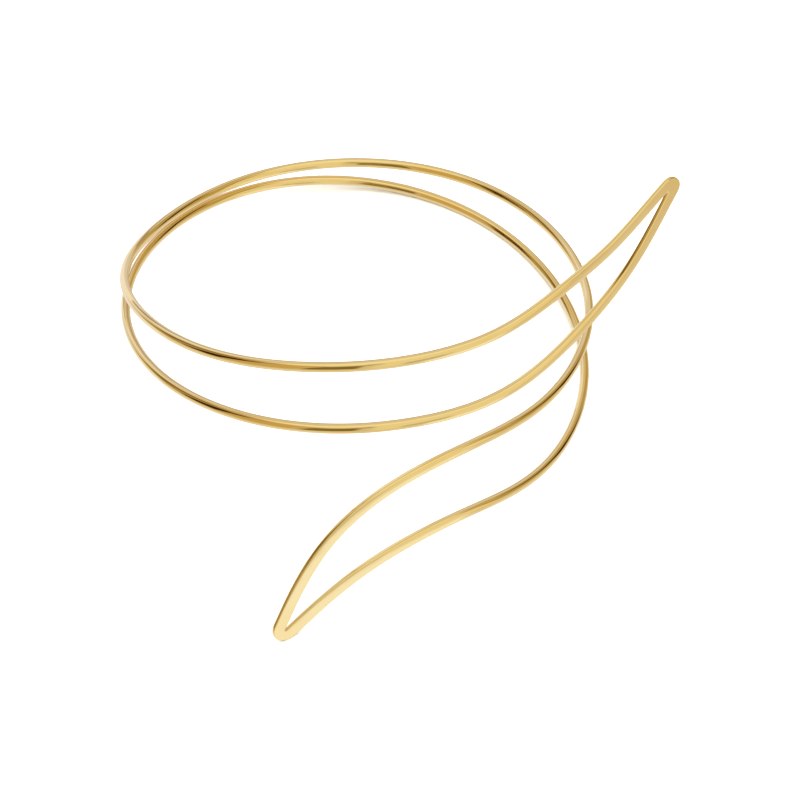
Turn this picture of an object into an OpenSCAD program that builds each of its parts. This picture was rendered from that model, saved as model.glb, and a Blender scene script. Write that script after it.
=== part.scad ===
// Upper arm cuff: one closed loop of wire bent round the arm. The two runs of the loop lie side by
// side at the back, open out into a leaf at each side and join in a rounded point at each leaf's
// end. The leaves pass each other at the front, one rising and one falling.

/* [Round of the arm] */
// Inside diameter of the round part
inside_d = 82; // [70:1:95]
// Length along the cuff from the middle of the back to the end of a leaf's middle line
half_len = 169.9; // [150:1:178]
// Height between the middle of the back and the end of a leaf's middle line
tip_rise = 32.6; // [24:0.1:44]

/* [Gap between the two runs] */
// Gap at the middle of the back, middle to middle
back_gap = 2.2; // [2.1:0.1:6]
// Widest gap in the rising leaf, middle to middle
rising_gap = 14; // [8:0.5:18]
// Widest gap in the falling leaf, middle to middle
falling_gap = 16.5; // [8:0.5:20]

/* [Wire] */
// Width of the wire in the round part, measured up the arm
wire_w = 1.85; // [1.2:0.05:1.95]
// Thickness of the wire in the round part, measured out from the arm
wire_t = 1.65; // [1.2:0.05:2.2]
// Thickness of the flattened wire at a leaf's end
tip_t = 0.85; // [0.7:0.05:1.5]
// Radius at the bottom of the notch where the two runs join
notch_r = 0.15; // [0.1:0.01:0.25]

/* [Ends of the leaves] */
// Width of the flattened wire at the rising leaf's end
rising_tip_w = 2.35; // [1.6:0.05:2.35]
// Width of the rising leaf's end across both runs
rising_tip = 4.4; // [4.1:0.05:4.8]
// Width of the flattened wire at the falling leaf's end
falling_tip_w = 2.65; // [1.6:0.05:2.65]
// Width of the falling leaf's end across both runs
falling_tip = 5.5; // [5:0.05:5.8]

/* [Lying on a table] */
// How far the axis of the arm leans from upright
lean = 17.8; // [0:0.1:30]
// Which way it leans, counted from the right-hand side of the round
lean_to = 238.1; // [180:0.1:270]

/* [Fineness] */
// Sides of the wire's section
sides = 12; // [8:2:16]
// Rings of the mesh between two rows of the table
rings_per_row = 9; // [4:1:12]

/* [Hidden] */

// A row for each section between the middle of the back and a leaf's end. A smooth line is drawn
// along the rows, and each row pulls it towards itself.
//   ALONG    share of half_len
//   BEND     share of the round part's bend: 0 is straight, below 0 bends away from the arm
//   RISE     share of tip_rise, upwards in the rising leaf
//   FALL     share of tip_rise, downwards in the falling leaf
//   RISING   how far the gap has opened, from closed to rising_gap
//   FALLING  how far the gap has opened, from closed to falling_gap
//   FLAT     how far the wire has been flattened, from its round section to that of the leaf's end
ALONG = 0;
BEND = 1;
RISE = 2;
FALL = 3;
RISING = 4;
FALLING = 5;
FLAT = 6;
sections = [
    [0.00,  1.00,  0.000,  0.000,  0.00,  0.00, 0.00],
    [0.16,  1.00, -0.008,  0.019, -0.02,  0.15, 0.00],
    [0.32,  1.00,  0.111,  0.088,  0.61,  0.42, 0.00],
    [0.46,  1.01,  0.187,  0.203,  0.74,  0.67, 0.00],
    [0.58,  1.04,  0.265,  0.279,  0.92,  0.91, 0.00],
    [0.69,  0.96,  0.305,  0.370,  0.94,  0.96, 0.04],
    [0.79,  0.64,  0.325,  0.333,  0.99,  0.88, 0.10],
    [0.87,  0.24,  0.498,  0.414,  0.85,  0.84, 0.30],
    [0.94, -0.14,  0.659,  0.622,  0.54,  0.61, 0.66],
    [1.00, -0.49,  1.000,  1.010,  0.00,  0.00, 1.00],
];
last = len(sections) - 1;

// Radius of the round part, at the middle of the wire's thickness
round_r = (inside_d + wire_t) / 2;
// Sharpness of the section's corners: 2 is an ellipse, and a larger number is nearer a rectangle
round_corner = 2.2;
face_corner = 9;
inner_corner = 3;
// Steps in which the bend is added up, and how far past a leaf's middle line the plan is carried
bend_steps = 40 * last;
plan_margin = falling_tip;
// Rings from the notch to the end of the middle line, and on round to the very tip
join_rings = 3;
arc_rings = 5;
fan_rings = join_rings + arc_rings;
// Small step of the table's rows, for the direction of a line
nudge = 0.01;

function mix(a, b, share) = a + (b - a) * share;

// What one row stands for: place along the cuff, height, gap, bend per mm and flatness. The rising
// leaf is on the side of the rows below 0, the falling one on the side above 0.
PLACE = 0;
HEIGHT = 1;
GAP = 2;
CURVE = 3;
PRESSED = 4;
function station(i) =
    let (row = sections[abs(i)],
         leaf_gap = i < 0 ? rising_gap : falling_gap,
         opened = i < 0 ? row[RISING] : row[FALLING],
         closed = mix(back_gap, i < 0 ? rising_tip - rising_tip_w : falling_tip - falling_tip_w,
                      row[ALONG]))
    [sign(i) * row[ALONG] * half_len, (i < 0 ? row[RISE] : -row[FALL]) * tip_rise,
     mix(closed, leaf_gap, opened), row[BEND] / round_r, row[FLAT]];

// Smooth line along the rows: a cubic B-spline, which ends on its first and last row
stations = concat([2 * station(-last) - station(1 - last)],
                  [for (i = [-last:last]) station(i)],
                  [2 * station(last) - station(last - 1)]);
function along(t) =
    let (i = min(max(floor(t), -last), last - 1), f = t - i, k = i + last)
    (stations[k] * pow(1 - f, 3)
     + stations[k + 1] * (3 * pow(f, 3) - 6 * pow(f, 2) + 4)
     + stations[k + 2] * (-3 * pow(f, 3) + 3 * pow(f, 2) + 3 * f + 1)
     + stations[k + 3] * pow(f, 3)) / 6;

// The cuff laid flat: the line midway between the two runs, its direction and its upward normal
function spot(t) = let (s = along(t)) [s[PLACE], s[HEIGHT]];
function heading(t) = let (d = spot(t + nudge) - spot(t - nudge)) d / norm(d);
function normal(t) = let (h = heading(t)) [-h[1], h[0]];
function width(t) = mix(wire_w, t < 0 ? rising_tip_w : falling_tip_w, along(t)[PRESSED]);
function outer_edge(t) = (along(t)[GAP] + width(t)) / 2;
function inner_edge(t) = (along(t)[GAP] - width(t)) / 2;

// Row at which the two runs have come so close that the notch ends, near the end on side "end"
function notch_row(end) =
    lookup(notch_r, [for (k = [0:20]) let (t = end * (last - k / 20)) [inner_edge(t), t]]);
rising_notch = notch_row(-1);
falling_notch = notch_row(1);

// One ring of the mesh, still flat: the wire's outer and inner edge, and how far it is flattened.
// "run" is 1 for the upper run and -1 for the lower one.
function leg_ring(run, t) =
    [spot(t) + run * outer_edge(t) * normal(t), spot(t) + run * inner_edge(t) * normal(t),
     along(t)[PRESSED]];
function leg(run, from, to) =
    let (rings = 2 * last * rings_per_row)
    [for (k = [0:rings]) leg_ring(run, mix(from, to, k / rings))];

// A ring past the notch. The inner edge turns about the notch's root, while the outer edge runs on
// to the end of the middle line and then round the tip, on the circle that touches both runs.
function tip_ring(end, run, k) =
    let (root_t = end > 0 ? falling_notch : rising_notch,
         turn = 90 * k / fan_rings,
         inner = spot(root_t) + notch_r * (run * cos(turn) * normal(root_t)
                                           + end * sin(turn) * heading(root_t)),
         t = mix(root_t, end * last, min(k / join_rings, 1)),
         shrink = outer_edge(end * (last - nudge)) - outer_edge(end * last),
         taper = atan(shrink / norm(spot(end * last) - spot(end * (last - nudge)))),
         tip_r = outer_edge(end * last) / cos(taper),
         centre = spot(end * last) - end * tip_r * sin(taper) * heading(end * last),
         swing = (90 - taper) * (fan_rings - k) / arc_rings,
         outer = k <= join_rings
             ? spot(t) + run * outer_edge(t) * normal(t)
             : centre + tip_r * (end * cos(swing) * heading(end * last)
                                 + run * sin(swing) * normal(end * last)))
    [outer, inner, along(t)[PRESSED]];
function tip(end, run) =
    concat([for (k = [1:fan_rings]) tip_ring(end, run, k)],
           [for (k = [fan_rings - 1:-1:1]) tip_ring(end, -run, k)]);

loop = concat(leg(1, rising_notch, falling_notch), tip(1, 1),
              leg(-1, falling_notch, rising_notch), tip(-1, -1));

// The cuff's plan: the bend is added up along its length into a direction and a place
function running(v) =
    [for (i = 0, sum = 0; i <= len(v); sum = sum + (i < len(v) ? v[i] : 0), i = i + 1) sum];
samples = [for (k = [-bend_steps:bend_steps]) along(k * last / bend_steps)];
bends = concat([samples[0][CURVE]], [for (s = samples) s[CURVE]], [samples[2 * bend_steps][CURVE]]);
places = concat([samples[0][PLACE] - plan_margin], [for (s = samples) s[PLACE]],
                [samples[2 * bend_steps][PLACE] + plan_margin]);
steps = [for (k = [1:len(places) - 1]) places[k] - places[k - 1]];
turns = running([for (k = [0:len(steps) - 1]) steps[k] * (bends[k] + bends[k + 1]) / 2 * 180 / PI]);
middle = bend_steps + 1;
facing = [for (a = turns) a - turns[middle]];
going = [for (k = [0:len(steps) - 1]) (facing[k] + facing[k + 1]) / 2];
xs = running([for (k = [0:len(steps) - 1]) steps[k] * cos(going[k])]);
ys = running([for (k = [0:len(steps) - 1]) -steps[k] * sin(going[k])]);
facing_at = [for (k = [0:len(places) - 1]) [places[k], facing[k]]];
x_at = [for (k = [0:len(places) - 1]) [places[k], xs[k] - xs[middle]]];
y_at = [for (k = [0:len(places) - 1]) [places[k], ys[k] - ys[middle] + round_r]];

// A point of the flat cuff brought round the arm, "out" from the middle of the wire's thickness
function bent(flat, out) =
    let (face = lookup(flat[0], facing_at))
    [lookup(flat[0], x_at) + out * sin(face), lookup(flat[0], y_at) + out * cos(face), flat[1]];

// The wire's section: a flattened round, with the sharper corners on its outward face
function rounded(v, corner) = sign(v) * pow(abs(v), 2 / corner);
function section(ring) =
    let (mid = (ring[0] + ring[1]) / 2, half_w = (ring[0] - ring[1]) / 2,
         half_t = mix(wire_t, tip_t, ring[2]) / 2)
    [for (j = [0:sides - 1])
        let (a = 360 * j / sides,
             corner = mix(round_corner, sin(a) > 0 ? face_corner : inner_corner, ring[2]))
        bent(mid + half_w * rounded(cos(a), corner), half_t * rounded(sin(a), corner))];
upright = [for (ring = loop) each section(ring)];

// Turned so that it lies as it does on a table, back towards +Y, and centred on its footprint
up = [sin(lean) * cos(lean_to), sin(lean) * sin(lean_to), cos(lean)];
back = let (v = [0, 1, 0] - up * up[1]) v / norm(v);
right = cross(back, up);
lying = [for (p = upright) [p * right, p * back, p * up]];
low = [for (axis = [0:2]) min([for (p = lying) p[axis]])];
high = [for (axis = [0:2]) max([for (p = lying) p[axis]])];
seat = [(low[0] + high[0]) / 2, (low[1] + high[1]) / 2, low[2]];

module cuff_wire() {
    count = len(loop);
    color("gold")
        polyhedron(
            points = [for (p = lying) p - seat],
            faces = [for (i = [0:count - 1], j = [0:sides - 1])
                let (a = i * sides + j,
                     b = i * sides + (j + 1) % sides,
                     c = (i + 1) % count * sides + (j + 1) % sides,
                     d = (i + 1) % count * sides + j)
                each [[a, b, c], [a, c, d]]]
        );
}

cuff_wire();
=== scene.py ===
import bpy
import numpy as np
from mathutils import Matrix, Vector


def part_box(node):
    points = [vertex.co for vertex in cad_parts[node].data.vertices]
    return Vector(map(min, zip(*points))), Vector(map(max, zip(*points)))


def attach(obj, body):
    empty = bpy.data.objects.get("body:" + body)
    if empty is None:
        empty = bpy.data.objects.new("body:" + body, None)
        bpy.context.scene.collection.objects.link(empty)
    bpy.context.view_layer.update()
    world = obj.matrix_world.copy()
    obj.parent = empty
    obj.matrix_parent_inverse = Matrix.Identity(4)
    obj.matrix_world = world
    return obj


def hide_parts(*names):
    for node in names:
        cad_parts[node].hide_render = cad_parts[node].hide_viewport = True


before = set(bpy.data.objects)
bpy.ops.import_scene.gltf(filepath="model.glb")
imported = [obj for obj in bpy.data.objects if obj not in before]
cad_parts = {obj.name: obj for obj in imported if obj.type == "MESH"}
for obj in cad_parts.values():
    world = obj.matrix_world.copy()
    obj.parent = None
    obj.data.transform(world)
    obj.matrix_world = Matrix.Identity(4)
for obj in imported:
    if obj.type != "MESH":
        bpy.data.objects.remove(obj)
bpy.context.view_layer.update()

# The cuff's sizes in millimetres, turned into metres when the mesh is made
cuff = {
    "insideDiameter": 82,
    "halfLength": 169.9,        # middle of the back to the end of a leaf's middle line
    "tipRise": 32.6,            # height of a leaf's end over the middle of the back
    "backGap": 2.2,             # between the middles of the two runs, at the back
    "leafGap": {-1: 14, 1: 16.5},           # widest, in the rising leaf and the falling one
    "wireWidth": 1.85,
    "wireThickness": 1.65,
    "tipThickness": 0.85,
    "tipWireWidth": {-1: 2.35, 1: 2.65},
    "tipAcross": {-1: 4.4, 1: 5.5},         # the leaf's end, across both runs
    "notchRadius": 0.15,
    "lean": 17.8,               # degrees, as it lies
    "leanTo": 238.1,
    "roundCorner": 2.2,         # superellipse power of the round wire, and of a leaf's faces
    "faceCorner": 9,
    "innerCorner": 3,
    "ringsPerRow": 46,
    "joinRings": 14,
    "arcRings": 26,
    "sides": 40,
    "planStepsPerRow": 200,
    "notchSteps": 400,
    "planMargin": 5.5,          # how far the plan is carried past a leaf's middle line
    "nudge": 0.01,              # step along the rows that gives a line its direction
    "skin": 0.012,              # how far the surface stays inside the CAD solid
}
# From the middle of the back to a leaf's end, in shares of the sizes above: place along the cuff,
# bend, rise of the rising leaf, fall of the falling one, how far each has opened, and how flat the
# wire is. The shares come from a fit to the photo, rounded
sectionRows = [
    [0.00, 1.00, 0.000, 0.000, 0.00, 0.00, 0.00],
    [0.16, 1.00, -0.008, 0.019, -0.02, 0.15, 0.00],
    [0.32, 1.00, 0.111, 0.088, 0.61, 0.42, 0.00],
    [0.46, 1.01, 0.187, 0.203, 0.74, 0.67, 0.00],
    [0.58, 1.04, 0.265, 0.279, 0.92, 0.91, 0.00],
    [0.69, 0.96, 0.305, 0.370, 0.94, 0.96, 0.04],
    [0.79, 0.64, 0.325, 0.333, 0.99, 0.88, 0.10],
    [0.87, 0.24, 0.498, 0.414, 0.85, 0.84, 0.30],
    [0.94, -0.14, 0.659, 0.622, 0.54, 0.61, 0.66],
    [1.00, -0.49, 1.000, 1.010, 0.00, 0.00, 1.00],
]
lastRow = len(sectionRows) - 1
roundRadius = (cuff["insideDiameter"] + cuff["wireThickness"]) / 2


def mix(a, b, share):
    return a + (b - a) * share


def stationList():
    # one station a row, from the rising leaf's end to the falling leaf's, and one more beyond each
    # end in a straight line: place, height, gap, bend per mm, flatness
    rows = []
    for i in range(-lastRow, lastRow + 1):
        side = -1 if i < 0 else 1
        place, bend, rise, fall, rising, falling, flat = sectionRows[abs(i)]
        closed = mix(cuff["backGap"], cuff["tipAcross"][side] - cuff["tipWireWidth"][side], place)
        opened, height = (rising, rise) if i < 0 else (falling, -fall)
        rows.append([np.sign(i) * place * cuff["halfLength"], height * cuff["tipRise"],
                     mix(closed, cuff["leafGap"][side], opened), bend / roundRadius, flat])
    rows = np.array(rows)
    return np.vstack([2 * rows[0] - rows[1], rows, 2 * rows[-1] - rows[-2]])


stations = stationList()


def along(t):
    # uniform cubic B-spline through the stations: four neighbours, weighted by the cubes of the
    # share of the way from one row to the next
    t = np.asarray(t, float)
    i = np.clip(np.floor(t), -lastRow, lastRow - 1).astype(int)
    f = (t - i)[..., None]
    k = i + lastRow
    return (stations[k] * (1 - f) ** 3 + stations[k + 1] * (3 * f ** 3 - 6 * f ** 2 + 4)
            + stations[k + 2] * (-3 * f ** 3 + 3 * f ** 2 + 3 * f + 1) + stations[k + 3] * f ** 3) / 6


def spot(t):
    return along(t)[..., :2]


def heading(t):
    d = spot(np.asarray(t) + cuff["nudge"]) - spot(np.asarray(t) - cuff["nudge"])
    return d / np.linalg.norm(d, axis=-1, keepdims=True)


def normal(t):
    h = heading(t)
    return np.stack([-h[..., 1], h[..., 0]], -1)


def wireWidth(t):
    tip = np.where(np.asarray(t) < 0, cuff["tipWireWidth"][-1], cuff["tipWireWidth"][1])
    return mix(cuff["wireWidth"], tip, along(t)[..., 4])


def outerEdge(t):
    return (along(t)[..., 2] + wireWidth(t)) / 2


def innerEdge(t):
    return (along(t)[..., 2] - wireWidth(t)) / 2


def notchRow(end):
    # the row where the runs have come as close as the notch's radius allows
    t = end * (lastRow - np.linspace(0, 1, cuff["notchSteps"]))
    return float(np.interp(cuff["notchRadius"], innerEdge(t), t))


notch = {-1: notchRow(-1), 1: notchRow(1)}


def legRings(run, start, stop):
    t = np.linspace(start, stop, 2 * lastRow * cuff["ringsPerRow"] + 1)
    n = normal(t)
    return (spot(t) + run * outerEdge(t)[:, None] * n, spot(t) + run * innerEdge(t)[:, None] * n,
            along(t)[:, 4])


def halfTip(end, run):
    # past the notch the inner edge turns a quarter about the notch's root, while the outer edge
    # runs to the end of the middle line and then a quarter round the circle that touches the runs
    fan = cuff["joinRings"] + cuff["arcRings"]
    k = np.arange(1, fan + 1)
    stop = end * lastRow
    turn = np.pi / 2 * k / fan
    root = notch[end]
    inner = spot(root) + cuff["notchRadius"] * (run * np.cos(turn)[:, None] * normal(root)
                                                + end * np.sin(turn)[:, None] * heading(root))
    t = mix(root, stop, np.minimum(k / cuff["joinRings"], 1))
    before = end * (lastRow - cuff["nudge"])
    shrink = outerEdge(before) - outerEdge(stop)
    taper = np.arctan(shrink / np.linalg.norm(spot(stop) - spot(before)))
    radius = outerEdge(stop) / np.cos(taper)
    centre = spot(stop) - end * radius * np.sin(taper) * heading(stop)
    swing = (np.pi / 2 - taper) * (fan - k) / cuff["arcRings"]
    straight = spot(t) + run * outerEdge(t)[:, None] * normal(t)
    arc = centre + radius * (end * np.cos(swing)[:, None] * heading(stop)
                             + run * np.sin(swing)[:, None] * normal(stop))
    outer = np.where((k <= cuff["joinRings"])[:, None], straight, arc)
    return outer, inner, along(t)[:, 4]


def wholeTip(end, run):
    there, back = halfTip(end, run), halfTip(end, -run)
    return tuple(np.concatenate([a, b[-2::-1]]) for a, b in zip(there, back))


def planTable():
    # the bend is added up along the cuff into a direction, and the direction into a place
    rows = along(np.linspace(-lastRow, lastRow, 2 * lastRow * cuff["planStepsPerRow"] + 1))
    u = np.concatenate([[rows[0, 0] - cuff["planMargin"]], rows[:, 0],
                        [rows[-1, 0] + cuff["planMargin"]]])
    bend = np.concatenate([rows[:1, 3], rows[:, 3], rows[-1:, 3]])
    step = np.diff(u)

    def runningSum(v):
        return np.concatenate([[0], np.cumsum(v)])

    facing = runningSum((bend[1:] + bend[:-1]) / 2 * step)
    facing -= np.interp(0, u, facing)
    going = (facing[1:] + facing[:-1]) / 2
    x, y = runningSum(np.cos(going) * step), runningSum(-np.sin(going) * step)
    return u, facing, x - np.interp(0, u, x), y - np.interp(0, u, y) + roundRadius


plan = planTable()


def bent(flat, out):
    # a point of the flat cuff brought round the arm, out from the middle of the wire's thickness
    u, facing, x, y = plan
    face = np.interp(flat[..., 0], u, facing)
    return np.stack([np.interp(flat[..., 0], u, x) + out * np.sin(face),
                     np.interp(flat[..., 0], u, y) + out * np.cos(face), flat[..., 1]], -1)


def cuffSurface():
    # rings of a superellipse carried round the closed loop: half the width times a power of the
    # cosine across, half the thickness times a power of the sine outwards
    parts = [legRings(1, notch[-1], notch[1]), wholeTip(1, 1),
             legRings(-1, notch[1], notch[-1]), wholeTip(-1, -1)]
    outer, inner, flat = (np.concatenate([p[k] for p in parts]) for k in range(3))
    a = np.linspace(0, 2 * np.pi, cuff["sides"], endpoint=False)[None, :]
    flat = flat[:, None]
    corner = mix(cuff["roundCorner"],
                 np.where(np.sin(a) > 0, cuff["faceCorner"], cuff["innerCorner"]), flat)
    across = np.sign(np.cos(a)) * np.abs(np.cos(a)) ** (2 / corner)
    outwards = np.sign(np.sin(a)) * np.abs(np.sin(a)) ** (2 / corner)
    middle = (outer + inner)[:, None, :] / 2
    halfWidth = (outer - inner)[:, None, :] / 2
    halfWidth = halfWidth * (1 - cuff["skin"] / np.linalg.norm(halfWidth, axis=-1, keepdims=True))
    halfThick = mix(cuff["wireThickness"], cuff["tipThickness"], flat) / 2 - cuff["skin"]
    return bent(middle + halfWidth * across[..., None], halfThick * outwards), flat


def lying(points):
    # turned about its back so that it lies as on a table, then set into the CAD node's box
    lean, leanTo = np.radians(cuff["lean"]), np.radians(cuff["leanTo"])
    up = np.array([np.sin(lean) * np.cos(leanTo), np.sin(lean) * np.sin(leanTo), np.cos(lean)])
    back = np.array([0, 1, 0]) - up * up[1]
    back /= np.linalg.norm(back)
    turned = points @ np.array([np.cross(back, up), back, up]).T / 1000
    low, high = turned.reshape(-1, 3).min(0), turned.reshape(-1, 3).max(0)
    boxLow, boxHigh = (np.array(v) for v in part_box("cuff_wire"))
    return turned + (boxLow + boxHigh) / 2 - (low + high) / 2


def closedGrid(name, points):
    # quads between ring i, side j and their neighbours, both ways round; the UV map runs along the
    # wire and round it, in metres
    rings, sides = points.shape[:2]
    mesh = bpy.data.meshes.new(name)
    mesh.vertices.add(rings * sides)
    mesh.vertices.foreach_set("co", points.reshape(-1).astype(np.float32))
    i, j = np.meshgrid(np.arange(rings), np.arange(sides), indexing="ij")
    nextRing, nextSide = (i + 1) % rings, (j + 1) % sides
    quads = np.stack([i * sides + j, nextRing * sides + j, nextRing * sides + nextSide,
                      i * sides + nextSide], -1).reshape(-1, 4)
    mesh.loops.add(quads.size)
    mesh.loops.foreach_set("vertex_index", quads.reshape(-1).astype(np.int32))
    mesh.polygons.add(len(quads))
    mesh.polygons.foreach_set("loop_start", np.arange(0, quads.size, 4, dtype=np.int32))
    mesh.polygons.foreach_set("use_smooth", np.ones(len(quads), bool))
    ringStep = np.linalg.norm(np.roll(points, -1, 0) - points, axis=-1).mean(1)
    sideStep = np.linalg.norm(np.roll(points, -1, 1) - points, axis=-1)
    lengthAt = np.concatenate([[0], np.cumsum(ringStep)])
    girthAt = np.concatenate([np.zeros((rings, 1)), np.cumsum(sideStep, 1)], 1)
    uv = np.stack([
        np.stack([lengthAt[i], girthAt[i, j]], -1), np.stack([lengthAt[i + 1], girthAt[nextRing, j]], -1),
        np.stack([lengthAt[i + 1], girthAt[nextRing, j + 1]], -1),
        np.stack([lengthAt[i], girthAt[i, j + 1]], -1)], -2)
    mesh.uv_layers.new(name="wire").data.foreach_set("uv", uv.reshape(-1).astype(np.float32))
    mesh.update()
    mesh.validate()
    piece = bpy.data.objects.new(name, mesh)
    bpy.context.collection.objects.link(piece)
    return piece


def floatAttribute(piece, name, values):
    piece.data.attributes.new(name, "FLOAT", "POINT").data.foreach_set(
        "value", values.reshape(-1).astype(np.float32))


surface, flatness = cuffSurface()
cuffPiece = closedGrid("polished_wire", lying(surface))
floatAttribute(cuffPiece, "flatness", np.broadcast_to(flatness, surface.shape[:2]))
print("wire made:", len(cuffPiece.data.polygons), "quads")

gold = {
    "color": (0.95, 0.74, 0.36),
    "deepColor": (0.93, 0.70, 0.31),
    "roughness": (0.02, 0.08),
    "mottleScale": 90,          # soft patches of colour, per metre
    "mottleDetail": 3,
    "mottleRange": (0.25, 0.5),
    "polishScale": 5000,        # fine polishing lines, per metre round the wire
    "polishDetail": 2,
    "polishRange": (0.3, 0.7),
    "polishStretch": 0.03,
    "polishHeight": 0.000004,
    "waveScale": 220,           # hand-drawn unevenness of the surface
    "waveDetail": 1,
    "waveHeight": 0.00005,
}


def goldMaterial():
    mat = bpy.data.materials.new("polished_gold")
    mat.use_nodes = True
    nodes, links = mat.node_tree.nodes, mat.node_tree.links
    shader = nodes["Principled BSDF"]
    shader.inputs["Metallic"].default_value = 1

    def node(kind, **values):
        n = nodes.new(kind)
        for key, value in values.items():
            n.inputs[key].default_value = value
        return n

    def ranged(taken, given):
        n = nodes.new("ShaderNodeMapRange")
        for name, value in zip(("From Min", "From Max", "To Min", "To Max"), (*taken, *given)):
            n.inputs[name].default_value = value
        return n

    place = nodes.new("ShaderNodeTexCoord")
    mottle = node("ShaderNodeTexNoise", Scale=gold["mottleScale"], Detail=gold["mottleDetail"])
    links.new(place.outputs["Object"], mottle.inputs["Vector"])
    tone = nodes.new("ShaderNodeMix")
    tone.data_type = "RGBA"
    tone.inputs["A"].default_value = (*gold["deepColor"], 1)
    tone.inputs["B"].default_value = (*gold["color"], 1)
    toneRange = ranged(gold["mottleRange"], (0, 1))
    links.new(mottle.outputs["Fac"], toneRange.inputs["Value"])
    links.new(toneRange.outputs["Result"], tone.inputs["Factor"])
    links.new(tone.outputs["Result"], shader.inputs["Base Color"])

    wire = nodes.new("ShaderNodeUVMap")
    wire.uv_map = "wire"
    stretch = nodes.new("ShaderNodeVectorMath")
    stretch.operation = "MULTIPLY"
    stretch.inputs[1].default_value = (gold["polishStretch"], 1, 1)
    links.new(wire.outputs["UV"], stretch.inputs[0])
    polish = node("ShaderNodeTexNoise", Scale=gold["polishScale"], Detail=gold["polishDetail"])
    links.new(stretch.outputs["Vector"], polish.inputs["Vector"])
    gloss = ranged(gold["polishRange"], gold["roughness"])
    links.new(polish.outputs["Fac"], gloss.inputs["Value"])
    links.new(gloss.outputs["Result"], shader.inputs["Roughness"])

    wave = node("ShaderNodeTexNoise", Scale=gold["waveScale"], Detail=gold["waveDetail"])
    links.new(place.outputs["Object"], wave.inputs["Vector"])
    waveBump = node("ShaderNodeBump", Distance=gold["waveHeight"], Strength=1)
    links.new(wave.outputs["Fac"], waveBump.inputs["Height"])
    polishBump = node("ShaderNodeBump", Distance=gold["polishHeight"], Strength=1)
    links.new(polish.outputs["Fac"], polishBump.inputs["Height"])
    links.new(waveBump.outputs["Normal"], polishBump.inputs["Normal"])
    links.new(polishBump.outputs["Normal"], shader.inputs["Normal"])
    return mat


cuffPiece.data.materials.append(goldMaterial())
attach(cuffPiece, "root")
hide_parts("cuff_wire")
print("gold finished")

studio = {
    "floorSize": 6,
    "floorColor": (0.93, 0.925, 0.915),
    "floorRoughness": 0.9,
    # name: place, aimed at, size, watts
    "lights": {
        "top": ((0, 0.2, 1.6), (0, 0, 0), (2.4, 2.4), 60),
    },
    "room": (0.70, 0.63, 0.50),
    # soft panels round the cuff, painted over one another: middle and half size in degrees (round
    # and up), how far the edge fades, colour
    "panels": {
        "ceiling": ((0, 90), (360, 25), 16, (0.95, 0.92, 0.76)),
        "table": ((0, -90), (360, 50), 14, (0.84, 0.82, 0.86)),
        "backWindow": ((69, -5), (38, 34), 12, (0.73, 0.72, 0.80)),
        "backWindowMiddle": ((81, -18), (16, 20), 9, (0.94, 0.96, 1.10)),
        "backWindowTop": ((86, 18), (8, 14), 7, (0.90, 0.93, 1.05)),
        "backHorizon": ((56, 7), (30, 4), 4, (0.40, 0.35, 0.38)),
        "leftWall": ((150, 16), (25, 30), 9, (0.43, 0.32, 0.14)),
        "leftFlag": ((164, 12), (8, 22), 4, (0.05, 0.02, 0.004)),
        "leftCorner": ((132, 22), (6, 18), 4, (0.18, 0.12, 0.06)),
        "leftScreen": ((195, 15), (13, 30), 7, (0.60, 0.44, 0.18)),
        "frontFlag": ((225, 9), (10, 23), 4, (0.24, 0.18, 0.05)),
        "frontCorner": ((248, 34), (8, 10), 7, (0.43, 0.44, 0.28)),
        "frontWindow": ((274, 18), (26, 38), 9, (0.86, 0.81, 0.60)),
        "frontSlot": ((264, -14), (6, 6), 5, (0.55, 0.54, 0.45)),
        "rightScreen": ((318, 22), (11, 28), 9, (0.50, 0.38, 0.12)),
        "rightFlag": ((343, 13), (8, 24), 4, (0.06, 0.025, 0.004)),
        "rightWall": ((12, 26), (15, 31), 11, (0.49, 0.38, 0.18)),
        "tableLeft": ((120, -41), (18, 14), 9, (0.90, 0.92, 1.05)),
        "tableRight": ((279, -37), (10, 8), 7, (1.00, 1.05, 1.15)),
        "tableEdge": ((38, -49), (14, 7), 7, (0.58, 0.46, 0.28)),
    },
}


def softLight(name, place, aim, size, watts):
    light = bpy.data.lights.new(name, "AREA")
    light.shape = "RECTANGLE"
    light.size, light.size_y = size
    light.energy = watts
    lamp = bpy.data.objects.new(name, light)
    lamp.matrix_world = Matrix.Translation(place) @ (
        Vector(aim) - Vector(place)).to_track_quat("-Z", "Y").to_matrix().to_4x4()
    lamp.visible_glossy = False
    bpy.context.collection.objects.link(lamp)


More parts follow.
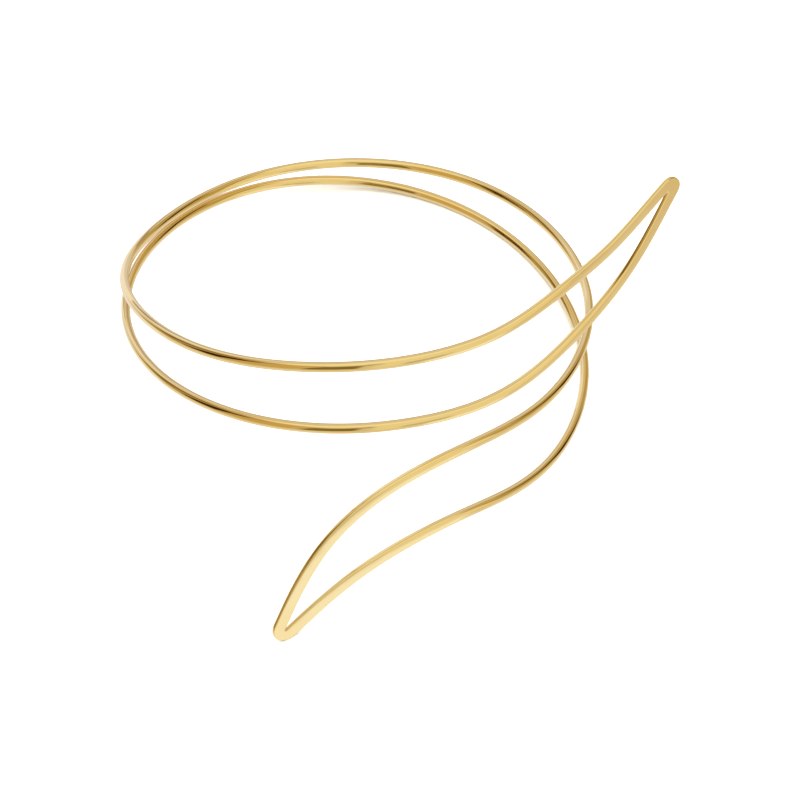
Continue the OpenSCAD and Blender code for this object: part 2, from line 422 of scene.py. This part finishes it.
def paintedWorld():
    # the direction looked in gives an angle round and an angle up; each panel is a soft-edged
    # rectangle in those two angles
    world = bpy.data.worlds.new("studio")
    world.use_nodes = True
    nodes, links = world.node_tree.nodes, world.node_tree.links

    def math(operation, *values):
        n = nodes.new("ShaderNodeMath")
        n.operation = operation
        for k, value in enumerate(values):
            if isinstance(value, (int, float)):
                n.inputs[k].default_value = value
            else:
                links.new(value, n.inputs[k])
        return n.outputs[0]

    def fade(angle, half, edge):
        n = nodes.new("ShaderNodeMapRange")
        n.interpolation_type = "SMOOTHSTEP"
        links.new(angle, n.inputs["Value"])
        n.inputs["From Min"].default_value = half + edge
        n.inputs["From Max"].default_value = half
        return n.outputs["Result"]

    place = nodes.new("ShaderNodeTexCoord")
    split = nodes.new("ShaderNodeSeparateXYZ")
    links.new(place.outputs["Generated"], split.inputs[0])
    x, y, z = split.outputs
    around = math("DEGREES", math("ARCTAN2", y, x))
    up = math("DEGREES", math("ARCSINE", z))
    color = nodes.new("ShaderNodeRGB")
    color.outputs[0].default_value = (*studio["room"], 1)
    color = color.outputs[0]
    for (azimuth, elevation), (halfRound, halfUp), edge, tint in studio["panels"].values():
        turned = math("WRAP", math("SUBTRACT", around, azimuth), 180, -180)
        mask = math("MULTIPLY", fade(math("ABSOLUTE", turned), halfRound, edge),
                    fade(math("ABSOLUTE", math("SUBTRACT", up, elevation)), halfUp, edge))
        over = nodes.new("ShaderNodeMix")
        over.data_type = "RGBA"
        links.new(mask, over.inputs["Factor"])
        links.new(color, over.inputs["A"])
        over.inputs["B"].default_value = (*tint, 1)
        color = over.outputs["Result"]
    links.new(color, nodes["Background"].inputs["Color"])
    return world


def makeStudio():
    half = studio["floorSize"] / 2
    mesh = bpy.data.meshes.new("floor")
    mesh.from_pydata([(-half, -half, 0), (half, -half, 0), (half, half, 0), (-half, half, 0)], [],
                     [(0, 1, 2, 3)])
    floor = bpy.data.objects.new("floor", mesh)
    bpy.context.collection.objects.link(floor)
    paper = bpy.data.materials.new("pale_floor")
    paper.use_nodes = True
    sheet = paper.node_tree.nodes["Principled BSDF"]
    sheet.inputs["Base Color"].default_value = (*studio["floorColor"], 1)
    sheet.inputs["Roughness"].default_value = studio["floorRoughness"]
    mesh.materials.append(paper)
    floor.visible_glossy = False
    for name, (place, aim, size, watts) in studio["lights"].items():
        softLight(name, place, aim, size, watts)
    bpy.context.scene.world = paintedWorld()


makeStudio()
bpy.context.scene.view_settings.view_transform = "Standard"

# The camera that fits the photo best, in metres and unit directions; the lens is in millimetres
view = {
    "place": (-0.18334, -0.26601, 0.45903),
    "ahead": (0.33144, 0.45839, -0.82464),
    "right": (0.83159, -0.55478, 0.02584),
    "lens": 136.721,
}


def makeCamera():
    camera = bpy.data.objects.new("camera", bpy.data.cameras.new("camera"))
    camera.data.lens = view["lens"]
    ahead = Vector(view["ahead"]).normalized()
    up = Vector(view["right"]).cross(ahead).normalized()
    right = ahead.cross(up)
    turn = Matrix((right, up, -ahead)).transposed()
    camera.matrix_world = Matrix.Translation(view["place"]) @ turn.to_4x4()
    bpy.context.collection.objects.link(camera)
    bpy.context.scene.camera = camera


makeCamera()
print("studio and camera ready")
